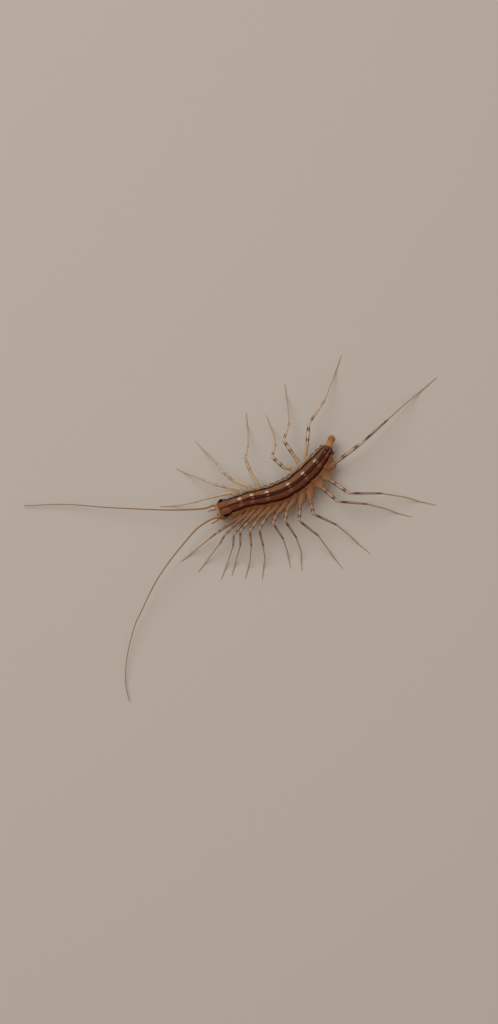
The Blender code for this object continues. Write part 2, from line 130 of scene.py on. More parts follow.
def new_finish(name, roughness, coat=0.0, soft=0.0, gloss=0.18):
    """A material with its node tree and its own shader node."""
    finish = bpy.data.materials.new(name)
    finish.use_nodes = True
    shader = finish.node_tree.nodes["Principled BSDF"]
    values = {
        "Roughness": roughness,
        "Specular IOR Level": gloss,
        "Coat Weight": coat,
        "Coat Roughness": 0.25,
        "Subsurface Weight": soft,
        "Subsurface Radius": (1.0, 0.45, 0.2),
        "Subsurface Scale": 0.0005,
    }
    for socket, value in values.items():
        shader.inputs[socket].default_value = value
    return finish, finish.node_tree, shader


board_finish, tree, shader = new_finish("pale_board", 0.85)
roll = add_node(tree, "ShaderNodeTexNoise", [("Scale", 24.0), ("Detail", 3.0)]).outputs["Fac"]
tree.links.new(stain(tree, BOARD_TONE, roll, 0.10, BOARD_SHADE), shader.inputs["Base Color"])
bm = bmesh.new()
bmesh.ops.create_grid(bm, x_segments=1, y_segments=1, size=BOARD_REACH)
board_mesh = bpy.data.meshes.new("board")
bm.to_mesh(board_mesh)
bm.free()
board = place("board", board_mesh)
board.location = (0.0, 0.0, -0.00002)
board_mesh.materials.append(board_finish)

# Trunk: the soft skin between the back plates and the belly, with a hip for every leg.
# One living skin, folded between the segments; where a leg was shed only its stub is left,
# closed by a dark scar.  It lies under the plates and carries everything else.
PIXEL = 0.2
VIEW_CENTRE = (249.0, 512.0)
UP = Vector((0.0, 0.0, 1.0))
SIGN = {"left": 1.0, "right": -1.0}
BACK_TOP = 4.0
PLATE_EDGE = 3.15
TRUNK_FLOOR = 1.5
TRUNK_FROM = 16.0
NECK_REACH = 6.5
TRUNK_TO = 133.6
COXA_HEIGHT = 2.12
COXA_RADIUS = 0.5
COXA_REACH = 0.68
TRUNK_MIDDLE_Z = 2.3
SKIN_GRID = 0.07
STRIPE = [
    (216.0, 510.5, 1.30), (228.5, 505.7, 1.48), (238.6, 502.2, 1.42), (250.1, 498.4, 1.47),
    (264.9, 495.6, 1.60), (280.0, 491.2, 1.74), (292.1, 485.1, 1.75), (299.8, 479.3, 1.75),
    (309.1, 471.1, 1.76), (319.1, 460.1, 1.53), (324.2, 453.1, 1.24), (328.2, 446.8, 0.95),
    (332.9, 435.5, 0.60),
]
ROOTS = (24.0, 31.5, 39.0, 46.7, 54.0, 61.5, 69.1, 76.7, 84.7, 93.0, 102.0, 111.0, 118.7, 126.0, 131.8)
RIGHT_LEGS = {
    1: [(218.0, 495.7, 3.0), (204.4, 498.9, 4.3), (194.9, 502.4, 2.6), (180.0, 505.3, 1.0), (161.0, 506.6)],
    2: [(227.4, 487.4, 3.2), (212.1, 483.6, 4.6), (203.8, 480.1, 3.0), (188.5, 474.3, 1.0), (177.0, 469.0)],
    3: [(233.8, 481.0, 3.3), (222.0, 471.5, 4.8), (216.6, 463.8, 3.2), (208.3, 454.9, 1.3), (196.1, 442.1)],
    4: [(251.0, 473.4, 3.4), (245.1, 458.0, 4.8), (247.8, 445.6, 3.3), (247.8, 432.9, 1.3), (246.2, 413.4)],
    10: [(283.9, 467.7, 3.4), (271.9, 457.0, 5.0), (275.4, 444.5, 3.4), (273.1, 432.9, 1.4), (266.5, 415.9)],
    11: [(293.0, 454.5, 3.4), (283.5, 440.4, 5.0), (289.3, 423.0, 3.4), (287.2, 403.1, 1.2), (285.1, 385.2)],
    12: [(307.0, 446.0, 3.4), (308.8, 423.8, 5.0), (324.5, 400.6, 3.3), (332.0, 381.5, 1.3), (341.1, 356.2)],
}
LEFT_LEGS = {
    1: [(228.2, 525.2, 2.2), (216.7, 532.9, 3.8), (209.8, 538.3, 2.6), (196.0, 549.6, 0.9), (181.5, 561.2)],
    2: [(236.2, 522.9, 3.15), (224.7, 535.2, 4.6), (220.5, 542.8, 3.1), (210.0, 556.6, 1.1), (198.7, 571.5)],
    3: [(243.6, 522.3, 3.3), (233.9, 534.4, 4.6), (233.1, 545.9, 3.1), (228.5, 560.0, 1.1), (221.6, 578.4)],
    4: [(251.6, 519.2, 3.6), (240.4, 530.6, 4.9), (240.4, 545.1, 3.2), (236.6, 558.2, 1.2), (232.1, 575.0)],
    5: [(259.4, 517.2, 3.7), (250.0, 530.6, 4.8), (251.3, 545.9, 3.2), (250.0, 560.4, 1.2), (245.5, 577.7)],
    6: [(267.6, 515.3, 3.8), (259.1, 529.1, 5.0), (263.2, 545.9, 3.2), (264.7, 558.0, 1.3), (262.4, 578.4)],
    7: [(277.4, 513.1, 3.8), (272.8, 523.1, 4.9), (283.2, 538.8, 3.2), (287.3, 551.3, 1.2), (290.5, 567.8)],
    8: [(287.3, 509.0, 3.5), (284.8, 520.6, 5.1), (296.4, 537.6, 3.3), (301.0, 551.3, 1.2), (301.8, 569.9)],
    9: [(300.0, 505.6, 3.5), (298.9, 520.6, 5.1), (318.0, 535.5, 3.3), (329.6, 551.3, 1.2), (342.5, 568.3)],
    10: [(310.2, 500.6, 3.5), (313.4, 513.9, 5.1), (336.2, 524.7, 3.4), (349.5, 535.5, 1.5), (369.8, 553.3)],
    11: [(322.0, 487.7, 3.5), (337.8, 501.6, 5.2), (367.0, 504.0, 3.5), (386.1, 509.0, 1.4), (411.0, 516.9)],
    12: [(329.7, 480.0, 3.5), (349.3, 493.4, 5.2), (381.8, 493.4, 3.5), (405.3, 497.3, 1.4), (434.9, 504.9)],
    13: [(335.4, 462.8, 3.5), (362.7, 442.2, 5.2), (387.1, 420.2, 3.5), (408.0, 401.5, 1.3), (435.9, 378.1)],
}
LEGS = {("right", number): joints for number, joints in RIGHT_LEGS.items()}
LEGS.update({("left", number): joints for number, joints in LEFT_LEGS.items()})


def on_plan(u, v, height):
    """The point, in mm, at this height above the board that the picture shows at (u, v)."""
    across = (u - VIEW_CENTRE[0]) * PIXEL
    up = (VIEW_CENTRE[1] - v) * PIXEL
    sine = math.sin(VIEW_TILT)
    cosine = math.cos(VIEW_TILT)
    y = up * (VIEW_DISTANCE - height * cosine) - VIEW_DISTANCE * height * sine
    y = y / (VIEW_DISTANCE * cosine - up * sine)
    depth = VIEW_DISTANCE + y * sine - height * cosine
    return Vector((across * depth / VIEW_DISTANCE - PLAN_SHIFT[0], y - PLAN_SHIFT[1], height))


def follow(table, t):
    """A smooth value between the rows of a table whose first column is t."""
    last = len(table) - 1
    k = 0
    while k < last - 1 and t > table[k + 1][0]:
        k = k + 1
    before = table[max(k - 1, 0)]
    start = table[k]
    end = table[k + 1]
    after = table[min(k + 2, last)]
    span = end[0] - start[0]
    s = (t - start[0]) / span
    values = []
    for c in range(1, len(start)):
        slope_in = (end[c] - before[c]) / (end[0] - before[0]) * span
        slope_out = (after[c] - start[c]) / (after[0] - start[0]) * span
        value = start[c] * (2 * s ** 3 - 3 * s ** 2 + 1) + slope_in * (s ** 3 - 2 * s ** 2 + s)
        values.append(value + end[c] * (3 * s ** 2 - 2 * s ** 3) + slope_out * (s ** 3 - s ** 2))
    return values


stations = []
travelled = 0.0
for row, (u, v, half) in enumerate(STRIPE):
    if row > 0:
        travelled = travelled + math.hypot(u - STRIPE[row - 1][0], v - STRIPE[row - 1][1])
    spot = on_plan(u, v, BACK_TOP)
    stations.append((travelled, spot.x, spot.y, half))


def back(t):
    """Point under the stripe, direction to the tail, direction to the left, half width."""
    x, y, half = follow(stations, t)
    x_next, y_next, half_next = follow(stations, t + 0.5)
    rear = Vector((x_next - x, y_next - y, 0.0)).normalized()
    left = Vector((rear.y, -rear.x, 0.0))
    return Vector((x, y, 0.0)), rear, left, half


def on_body(t, a, z):
    """A point of the trunk: t along it, a mm to the left, z mm up."""
    middle, rear, left, half = back(t)
    return middle + left * a + UP * z


def plate_height(share):
    """Height of the plates' outer face at this share of the half width."""
    return PLATE_EDGE + (BACK_TOP - PLATE_EDGE) * (1.0 - abs(share) ** 2.2)


def root_of(side, number):
    """Start of a hip, the middle of its outer face, its outward direction and its radius."""
    t = ROOTS[number - 1]
    sign = SIGN[side]
    half = back(t)[3]
    inner = on_body(t, sign * 0.4 * half, COXA_HEIGHT)
    foot = on_body(t, sign * half, COXA_HEIGHT)
    outward = (foot - inner).normalized()
    if (side, number) in LEGS:
        u, v, height = LEGS[(side, number)][0]
        reach = (on_plan(u, v, height) - foot).normalized()
        outward = (outward + reach * 0.75).normalized()
    return inner, foot + outward * COXA_REACH, outward, COXA_RADIUS * min(1.0, half / 1.6)


def new_shape(*marks):
    """An empty mesh in the making: points in mm, faces, and a value per point for each mark."""
    return {"points": [], "faces": [], "marks": {mark: [] for mark in marks}}


def add_rings(shape, rings, marked):
    """Join rings of points into a closed tube; marked(ring, k) gives each point's marks."""
    first = len(shape["points"])
    count = len(rings[0])
    last = first + (len(rings) - 1) * count
    for r, ring in enumerate(rings):
        for k, point in enumerate(ring):
            shape["points"].append(point)
            for mark, value in marked(r, k).items():
                shape["marks"][mark].append(value)
    for a in range(first, last, count):
        for k in range(count):
            n = (k + 1) % count
            shape["faces"].append((a + k, a + n, a + count + n, a + count + k))
    shape["faces"].append(tuple(first + k for k in range(count))[::-1])
    shape["faces"].append(tuple(last + k for k in range(count)))


def mesh_of(name, shape, scale=MM):
    """A smooth mesh of the shape, with each of its marks as an attribute."""
    mesh = bpy.data.meshes.new(name)
    mesh.from_pydata([point * scale for point in shape["points"]], [], shape["faces"])
    for mark, values in shape["marks"].items():
        mesh.attributes.new(mark, "FLOAT", "POINT").data.foreach_set("value", values)
    bm = bmesh.new()
    bm.from_mesh(mesh)
    bmesh.ops.recalc_face_normals(bm, faces=bm.faces)
    bm.to_mesh(mesh)
    bm.free()
    mesh.shade_smooth()
    return mesh


def set_in_place(name, mesh, finish, slot, *nodes):
    """Make the piece, let it ride on the body and stand for its solids."""
    piece = place(name, mesh)
    mesh.materials.clear()
    mesh.materials.append(finish)
    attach(piece, "root")
    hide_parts(*nodes)


def ring_about(centre, side, up, radius, sides, form=None):
    """A ring of points in the plane of side and up, the first one on top."""
    ring = []
    for k in range(sides):
        angle = math.tau * k / sides
        reach = radius * (form(angle) if form else 1.0)
        ring.append(centre + up * math.cos(angle) * reach + side * math.sin(angle) * reach)
    return ring


def square_to(way):
    """The sideways and upward directions square to a way."""
    side = way.cross(UP).normalized()
    return side, side.cross(way).normalized()


def frames_along(points):
    """The sideways and upward directions at each point of a path."""
    last = len(points) - 1
    return [square_to(points[min(k + 1, last)] - points[max(k - 1, 0)]) for k in range(last + 1)]


def smooth_path(points, radii, step):
    """A rounded path through the points at even small steps, with its radii and lengths."""
    rows = [(0.0, *points[0], radii[0])]
    for k in range(1, len(points)):
        rows.append((rows[-1][0] + (points[k] - points[k - 1]).length, *points[k], radii[k]))
    count = max(2, round(rows[-1][0] / step))
    lengths = [rows[-1][0] * k / count for k in range(count + 1)]
    found = [follow(rows, length) for length in lengths]
    return [Vector(row[:3]) for row in found], [row[3] for row in found], lengths


def bell(far, wide):
    """One at nought, and almost nothing from twice this width on."""
    return math.exp(-(far / wide) ** 2)


def fold_at(t, wide):
    """One where two segments meet, and nought in between."""
    return max(bell(((fore + aft) / 2.0 - t) * PIXEL, wide) for fore, aft in zip(ROOTS, ROOTS[1:]))


def trunk_ring(t):
    """One cross-section of the trunk's skin, drawn in where segments meet and at the neck."""
    half = back(t)[3]
    whole = math.sqrt(max(0.03, 1.0 - (max(0.0, TRUNK_FROM - t) / NECK_REACH) ** 2))
    crease = fold_at(t, 0.22)
    low = TRUNK_FLOOR - (0.3 if t < 22.0 else 0.0) + 0.12 * crease
    bulge = 0.80 + 0.30 * min(1.0, t / 80.0) + 0.60 * min(1.0, max(0.0, (t - 84.0) / 12.0))
    bulge = bulge + 0.40 * bell(t - 14.0, 5.0)
    fading = min(1.0, max(0.0, (131.0 - t) / 6.0))
    ring = []
    for k in range(44):
        angle = math.tau * k / 44
        share = math.copysign(abs(math.cos(angle)) ** 0.72, math.cos(angle))
        rise = abs(math.sin(angle)) ** 0.72
        end = plate_height(share * 0.8) - 0.42 if math.sin(angle) > 0.0 else low
        z = TRUNK_MIDDLE_Z + (end - TRUNK_MIDDLE_Z) * rise
        pad = bulge * (max(0.0, share) ** 3 * fading)
        a = (share * half * (0.90 - 0.05 * crease) + pad) * whole
        ring.append(on_body(t, a, TRUNK_MIDDLE_Z + (z - TRUNK_MIDDLE_Z) * whole))
    return ring


neck = TRUNK_FROM - NECK_REACH
skin = new_shape()
add_rings(skin, [trunk_ring(neck + (TRUNK_TO - neck) * k / 208) for k in range(209)], lambda r, k: {})
scars = []
for side in SIGN:
    for number in range(1, 16):
        inner, face, outward, radius = root_of(side, number)
        kept = (side, number) in LEGS
        foot = face - outward * COXA_REACH
        points = [inner, inner.lerp(foot, 0.6), foot, foot.lerp(face, 0.5), foot.lerp(face, 0.85), face]
        swell = (0.9, 1.08, 1.12, 1.08, 1.0, 0.88) if kept else (0.9, 1.1, 1.1, 0.96, 0.86, 0.60)
        fore = ROOTS[max(number - 2, 0)]
        aft = ROOTS[min(number, 14)]
        broad = max(1.0, (aft - fore) / (2.0 if 1 < number < 15 else 1.0) * PIXEL * 0.56 / radius)
        path, radii, lengths = smooth_path(points, [radius * share for share in swell], 0.06)
        taper = 0.35 if kept and side == "left" else 1.0
        rings = []
        for point, (cross, up), reach, length in zip(path, frames_along(path), radii, lengths):
            near = 1.0 - taper * (length / lengths[-1]) ** 4
            wide = 1.0 + (broad - 1.0) * near * (1.0 if kept else 0.6)
            oval = lambda angle: 1.0 + (wide - 1.0) * math.sin(angle) ** 2
            rings.append(ring_about(point, cross, up, reach, 24, oval))
        add_rings(skin, rings, lambda r, k: {})
        if not kept:
            scars.append((face, outward))
bulk = place("trunk_bulk", mesh_of("trunk_bulk", skin, 1.0))
grow = bulk.modifiers.new("grow", "REMESH")
grow.mode = "VOXEL"
grow.voxel_size = SKIN_GRID
relax = bulk.modifiers.new("relax", "SMOOTH")
relax.factor = 0.5
relax.iterations = 5
bpy.context.view_layer.update()
grown = bulk.evaluated_get(bpy.context.evaluated_depsgraph_get())
trunk_mesh = bpy.data.meshes.new_from_object(grown)
bpy.data.objects.remove(bulk, do_unlink=True)

middle_line = kdtree.KDTree(1200)
line_t = [10.0 + 130.0 * k / 1199 for k in range(1200)]
for k, t in enumerate(line_t):
    middle_line.insert(back(t)[0], k)
middle_line.balance()
marks = {"left_share": [], "fold": [], "scar": [], "height": []}
for vertex in trunk_mesh.vertices:
    spot = vertex.co.copy()
    k = middle_line.find(Vector((spot.x, spot.y, 0.0)))[1]
    middle, rear, left, half = back(line_t[k])
    scar = 0.0
    for face, outward in scars:
        out = (spot - face).dot(outward)
        off = (spot - face - outward * out).length
        if out > -0.45 and off < 0.6:
            scar = max(scar, 0.8 * bell(out + 0.24, 0.09), bell(off, 0.16) if out > -0.12 else 0.0)
            dent = bell(off, 0.14) if out > -0.25 else 0.0
            vertex.co = vertex.co - outward * 0.12 * dent
    marks["left_share"].append((spot - middle).dot(left) / half)
    marks["fold"].append(fold_at(line_t[k], 0.20))
    marks["scar"].append(scar)
    marks["height"].append(spot.z)
for mark, values in marks.items():
    trunk_mesh.attributes.new(mark, "FLOAT", "POINT").data.foreach_set("value", values)
trunk_mesh.transform(Matrix.Scale(MM, 4))
trunk_mesh.shade_smooth()

# The fine grain of chitin, shared by every hard and soft part of the animal.
chitin_grain = bpy.data.node_groups.new("chitin_grain", "ShaderNodeTree")
for name, way in (("Size", "INPUT"), ("Mottle", "INPUT"), ("Shade", "OUTPUT"), ("Height", "OUTPUT")):
    chitin_grain.interface.new_socket(name, in_out=way, socket_type="NodeSocketFloat")
size, mottle = chitin_grain.nodes.new("NodeGroupInput").outputs[:2]
going = chitin_grain.nodes.new("NodeGroupOutput")
where = add_node(chitin_grain, "ShaderNodeTexCoord").outputs["Object"]
cells = add_node(chitin_grain, "ShaderNodeTexVoronoi", [("Vector", where), ("Scale", size)])


def noise(tree, scale, detail, where=None):
    """Soft noise about one half, laid over the object itself where no other place is given."""
    if where is None:
        where = add_node(tree, "ShaderNodeTexCoord").outputs["Object"]
    feeds = [("Vector", where), ("Scale", scale), ("Detail", detail)]
    return add_node(tree, "ShaderNodeTexNoise", feeds).outputs["Fac"]


coarse = noise(chitin_grain, times(chitin_grain, size, 0.35), 4.0, where)
pits = noise(chitin_grain, times(chitin_grain, size, 2.5), 2.0, where)
swing = times(chitin_grain, reckon(chitin_grain, "SUBTRACT", coarse, 0.5), mottle)
height = reckon(chitin_grain, "MULTIPLY_ADD", pits, 0.5, cells.outputs["Distance"])
chitin_grain.links.new(reckon(chitin_grain, "ADD", swing, 1.0), going.inputs["Shade"])
chitin_grain.links.new(height, going.inputs["Height"])


def fade(tree, value, low, high):
    """Nought below low, one above high and a soft step between."""
    feeds = [("Value", value), ("From Min", low), ("From Max", high)]
    made = add_node(tree, "ShaderNodeMapRange", feeds, interpolation_type="SMOOTHSTEP")
    return made.outputs["Result"]


def mark_of(tree, name):
    """The value of one of the mesh's marks."""
    return add_node(tree, "ShaderNodeAttribute", attribute_name=name).outputs["Fac"]


def grain_over(tree, shader, colour, size, mottle, depth, rough_low, rough_high):
    """Lay the chitin grain over a colour, and give it to the roughness and the bump too."""
    grain = add_node(tree, "ShaderNodeGroup", node_tree=chitin_grain)
    grain.inputs["Size"].default_value = size
    grain.inputs["Mottle"].default_value = mottle
    height = grain.outputs["Height"]
    shade = add_node(tree, "ShaderNodeCombineColor", [(k, grain.outputs["Shade"]) for k in range(3)])
    tree.links.new(tint(tree, 1.0, colour, shade.outputs[0], "MULTIPLY"), shader.inputs["Base Color"])
    feeds = [("Value", height), ("To Min", rough_low), ("To Max", rough_high)]
    rough = add_node(tree, "ShaderNodeMapRange", feeds)
    tree.links.new(rough.outputs["Result"], shader.inputs["Roughness"])
    bump = add_node(tree, "ShaderNodeBump", [("Height", height), ("Strength", depth), ("Distance", 0.00003)])
    tree.links.new(bump.outputs["Normal"], shader.inputs["Normal"])


# The left flank's darker orange is the hips' own colour with painted shade in it; the right side keeps the
# paler cream.
SHADED_HIP_ORANGE = (0.31, 0.130, 0.054, 1.0)
HIP_CREAM = (0.42, 0.29, 0.18, 1.0)
FOLD_BROWN = (0.16, 0.065, 0.028, 1.0)
SCAR_BLACK = (0.035, 0.012, 0.010, 1.0)
trunk_finish, tree, shader = new_finish("soft_side_skin", 0.5, 0.08, 0.35)
side_share = mark_of(tree, "left_share")
# Left of the middle the skin turns from cream to the darker orange: painted shade on the side away from the
# lamp.
tone = tint(tree, fade(tree, side_share, -0.9, 0.2), HIP_CREAM, SHADED_HIP_ORANGE)
tone = stain(tree, tone, mark_of(tree, "fold"), 0.55, FOLD_BROWN)
tone = stain(tree, tone, fade(tree, mark_of(tree, "height"), 2.0, 1.4), 0.5, HIP_CREAM)
tone = tint(tree, mark_of(tree, "scar"), tone, SCAR_BLACK)
grain_over(tree, shader, tone, 5000.0, 0.45, 0.35, 0.38, 0.62)
set_in_place("side_skin", trunk_mesh, trunk_finish, "trunk", "trunk")

# Back plates: eight shells of hard brown chitin, each lapping over the front of the next.
# Every one has a rolled dark rim with fine thorns, a dark middle stripe, and near its rear
# edge the raised slit that the animal breathes through.
PLATE_ENDS = [15.6, 27.8, 40.2, 55.6, 79.0, 98.0, 115.8, 128.2, 134.6]
PLATE_WIDTHS = [(0.0, 0.90), (0.14, 0.965), (0.45, 1.0), (0.80, 1.0), (0.93, 0.97), (1.0, 0.90)]
PLATE_LAP = 1.6
PLATE_SHELL = 0.16
BRISTLE_MARKS = {"offset": 0.0, "from_rear": 1.0, "share": 0.95, "along": 0.5}

plate_finish, tree, shader = new_finish("plate_chitin", 0.5, 0.05, 0.0, 0.10)
offset = mark_of(tree, "offset")
from_rear = mark_of(tree, "from_rear")
share = mark_of(tree, "share")
along = mark_of(tree, "along")
wobble = reckon(tree, "SUBTRACT", noise(tree, 1400.0, 3.0), 0.5)
lie = [(0, times(tree, offset, 5.0)), (1, times(tree, from_rear, 0.9))]
streaks = noise(tree, 1.6, 4.0, add_node(tree, "ShaderNodeCombineXYZ", lie).outputs[0])
# The left band is a darker, redder copy of the right band: painted shade on the side away from the lamp.
RIGHT_BAND = (0.290, 0.136, 0.073, 1.0)
SHADED_LEFT_BAND = (0.185, 0.055, 0.025, 1.0)
BAND_PALE = (0.36, 0.19, 0.11, 1.0)
STRIPE_DARK = (0.036, 0.006, 0.004, 1.0)
STRIPE_MID = (0.085, 0.020, 0.010, 1.0)
RIM_DARK = (0.038, 0.006, 0.003, 1.0)
SPOT_CREAM = (0.78, 0.58, 0.40, 1.0)
# This pink is both the pale spot on the left, dimmed by painted shade, and the patch round the breathing
# slit.
SPOT_PINK = (0.36, 0.17, 0.11, 1.0)
tone = tint(tree, fade(tree, offset, -0.15, 0.25), RIGHT_BAND, SHADED_LEFT_BAND)
for value, low, high, strength, colour in (
    (along, 0.45, 0.80, 0.40, STRIPE_MID),
    (from_rear, 1.3, 0.2, 0.20, BAND_PALE),
    (streaks, 0.45, 0.72, 0.45, STRIPE_MID),
    (streaks, 0.52, 0.28, 0.22, BAND_PALE),
):
    tone = stain(tree, tone, fade(tree, value, low, high), strength, colour)


def patch(centre_offset, centre_rear, half_wide, half_long):
    """One inside a soft-edged oval on a plate, and nought outside it."""
    wide = reckon(tree, "DIVIDE", reckon(tree, "SUBTRACT", offset, centre_offset), half_wide)
    long = reckon(tree, "DIVIDE", reckon(tree, "SUBTRACT", from_rear, centre_rear), half_long)
    far = reckon(tree, "ADD", times(tree, wide, wide), times(tree, long, long))
    return fade(tree, reckon(tree, "MULTIPLY_ADD", wobble, 0.9, far), 1.35, 0.45)


# On the left the pale spot beside the stripe is dimmed to pink: painted shade; the right one stays cream.
tone = stain(tree, tone, patch(0.66, 0.60, 0.20, 0.46), 0.6, SPOT_PINK)
pale_spot = times(tree, patch(-0.62, 0.52, 0.22, 0.44), fade(tree, along, 0.93, 0.80))
tone = tint(tree, pale_spot, tone, SPOT_CREAM)
stripe_edge = reckon(tree, "MULTIPLY_ADD", wobble, 0.22, reckon(tree, "ABSOLUTE", offset))
stripe_tone = tint(tree, fade(tree, streaks, 0.35, 0.65), STRIPE_DARK, STRIPE_MID)
stripe_more = times(tree, fade(tree, along, 0.02, 0.22), 0.22)
stripe_edge = reckon(tree, "SUBTRACT", stripe_edge, stripe_more)
tone = tint(tree, fade(tree, stripe_edge, 0.26, 0.14), tone, stripe_tone)
tone = stain(tree, tone, patch(0.0, 0.42, 0.17, 0.34), 0.85, SPOT_PINK)
tone = tint(tree, patch(0.0, 0.42, 0.06, 0.20), tone, STRIPE_DARK)
rim = reckon(tree, "MULTIPLY_ADD", wobble, 0.20, reckon(tree, "ABSOLUTE", share))
tone = tint(tree, fade(tree, rim, 0.70, 0.83), tone, RIM_DARK)
grain_over(tree, shader, tone, 7000.0, 0.35, 0.30, 0.42, 0.66)

rng = random.Random(7)


def add_thorn(shape, foot, way, length, thick, marks):
    """A thin three-sided thorn that stands on a surface."""
    side = way.orthogonal().normalized()
    other = way.cross(side).normalized()
    rings = []
    for middle, radius in ((foot, thick), (foot + way * length, thick * 0.15)):
        start = middle - way * 0.02
        rings.append([start + (side * math.cos(a) + other * math.sin(a)) * radius for a in (0.0, 2.1, 4.2)])
    add_rings(shape, rings, lambda r, k: marks)


def plate_point(t_front, t_rear, s, c, under):
    """A point of a plate: s from its front to its rear, c from its right edge to its left."""
    corner = 0.055 * abs(c) ** 7 + 0.030 * bell(c, 0.16)
    t = t_front + (t_rear - t_front) * (s - corner * s ** 4)
    half = back(t)[3] * follow(PLATE_WIDTHS, s)[0]
    rear = (t_rear - t) * PIXEL
    z = plate_height(c) + 0.06 * s ** 2 - 0.05 * (1.0 - s) ** 3
    rim = max(0.0, min(1.0, (abs(c) - 0.86) / 0.10))
    z = z + 0.045 * rim * rim * (3.0 - 2.0 * rim) + 0.03 * bell(s - 0.985, 0.02)
    z = z + 0.03 * math.cos(c * 9.0) * (1.0 - abs(c))
    a = c * half
    hump = math.exp(-(a / 0.26) ** 2 - ((rear - 0.42) / 0.34) ** 2)
    slit = math.exp(-(a / 0.05) ** 2 - ((rear - 0.42) / 0.20) ** 4)
    z = z + 0.10 * hump - 0.11 * slit
    if under:
        z = z - PLATE_SHELL * (1.0 - 0.45 * abs(c) ** 6) - 0.05 * (1.0 - s)
        a = a * 0.985
    along = (t - TRUNK_FROM) / (TRUNK_TO - TRUNK_FROM)
    return on_body(t, a, z), {"offset": a, "from_rear": rear, "share": c, "along": along}


def add_piece(name, shape, finish, slot, node):
    """Mesh a shape and set it in place."""
    set_in_place(name, mesh_of(name, shape), finish, slot, node)


def add_grid(shape, grid):
    """Join rows of points, each with its marks, into a closed tube."""
    add_rings(shape, [[spot for spot, marks in row] for row in grid], lambda r, k: grid[r][k][1])


for number in range(1, 9):
    t_front = PLATE_ENDS[number - 1] - (1.9 if number == 1 else PLATE_LAP * 0.2)
    t_rear = PLATE_ENDS[number] + (PLATE_LAP * 0.55 if number < 8 else -0.3)
    shape = new_shape("offset", "from_rear", "share", "along")
    rows = 14 + round((t_rear - t_front) * 1.1)
    grid = []
    for row in range(rows + 1):
        s = row / rows
        top = [plate_point(t_front, t_rear, s, -1.0 + k / 30.0, False) for k in range(61)]
        under = [plate_point(t_front, t_rear, s, 1.0 - k / 10.0, True) for k in range(21)]
        grid.append(top + under)
    add_grid(shape, grid)
    for side in (-1.0, 1.0):
        for k in range(rows):
            s = (k + rng.random()) / rows
            foot, marks = plate_point(t_front, t_rear, s, side * 0.995, False)
            middle, rear, left, half = back(t_front + (t_rear - t_front) * s)
            way = (left * side + rear * 0.7 + UP * 0.1).normalized()
            add_thorn(shape, foot, way, 0.07 + 0.05 * rng.random(), 0.018, marks)
    for k in range(int(26 * (t_rear - t_front) / 18)):
        spot = (rng.uniform(-0.85, 0.85), rng.uniform(0.1, 0.95))
        foot = plate_point(t_front, t_rear, spot[1], spot[0], False)[0]
        way = (back(t_front)[1] * 0.8 + UP * 0.7).normalized()
        add_thorn(shape, foot, way, 0.09, 0.011, BRISTLE_MARKS)
    add_piece("back_shell_%d" % number, shape, plate_finish, "back_plate", "plate_%d" % number)

# Tail: the small last segment behind the plates, a soft tapering cone of orange skin,
# ringed where it telescopes, with two blunt lobes side by side at its end.
TAIL = [
    (134.9, 0.84, 2.50), (136.4, 0.80, 2.48), (138.6, 0.70, 2.43), (140.6, 0.64, 2.38),
    (142.6, 0.68, 2.34), (144.4, 0.67, 2.31), (145.9, 0.50, 2.30), (146.8, 0.24, 2.30),
]
TAIL_LOBE = [(142.2, 0.20, 2.45), (144.2, 0.27, 2.50), (145.6, 0.27, 2.48), (146.3, 0.25, 2.46)]
TAIL_GROOVES = (0.5, 1.05, 1.6, 2.05)
TAIL_ORANGE = (0.42, 0.185, 0.062, 1.0)
TAIL_PALE = (0.56, 0.34, 0.17, 1.0)
ROUND_END = ((0.12, 1.0), (0.55, 0.82), (0.86, 0.45))


def tube_rings(points, radii, sides, form=None):
    """Rings along a path, closed by a rounded end at both ends."""
    axes = frames_along(points)

    def dome(end, inner):
        """The rings of one rounded end, from its tip to the tube."""
        way = (points[end] - points[inner]).normalized() * radii[end]
        return [(points[end] + way * out * 0.6, axes[end], radii[end] * share) for share, out in ROUND_END]

    rows = dome(0, 1) + list(zip(points, axes, radii)) + dome(-1, -2)[::-1]
    return [ring_about(point, *sides_of, radius, sides, form) for point, sides_of, radius in rows]


def with_ends(values, first, last):
    """A path's values, with three more at each end for its rounded ends."""
    return [first] * 3 + values + [last] * 3


tail = new_shape("ring", "tip")
spots = [on_body(133.2, 0.0, 2.55)] + [on_body(t, 0.0, z) for t, radius, z in TAIL]
path, radii, lengths = smooth_path(spots, [0.98] + [radius * 1.17 for t, radius, z in TAIL], 0.04)
dip = [sum(bell(length - groove, 0.06) for groove in TAIL_GROOVES) for length in lengths]
radii = [radius * (1.0 - 0.09 * d) for radius, d in zip(radii, dip)]
rings = tube_rings(path, radii, 28, lambda angle: 1.0 + 0.05 * math.cos(2.0 * angle))
dip = with_ends(dip, 0.0, 0.0)
add_rings(tail, rings, lambda r, k: {"ring": min(1.0, dip[r]), "tip": r / len(rings)})
for side in (-1.0, 1.0):
    spots = [on_body(t, a * side, z) for t, a, z in TAIL_LOBE]
    path, radii, lengths = smooth_path(spots, [0.20, 0.27, 0.25, 0.15], 0.05)
    add_rings(tail, tube_rings(path, radii, 16), lambda r, k: {"ring": 0.0, "tip": 1.0})
for k in range(46):
    angle = rng.uniform(-1.9, 1.9)
    t = rng.uniform(136.0, 146.4)
    radius, z = follow(TAIL, t)
    middle = on_body(t, 0.0, z)
    out = on_body(t, math.sin(angle) * radius, z + math.cos(angle) * radius) - middle
    way = (out.normalized() + back(t)[1] * 0.9).normalized()
    add_thorn(tail, middle + out * 0.95, way, 0.14, 0.012, {"ring": 0.8, "tip": 1.0})
tail_finish, tree, shader = new_finish("tail_skin", 0.45, 0.2, 0.2)
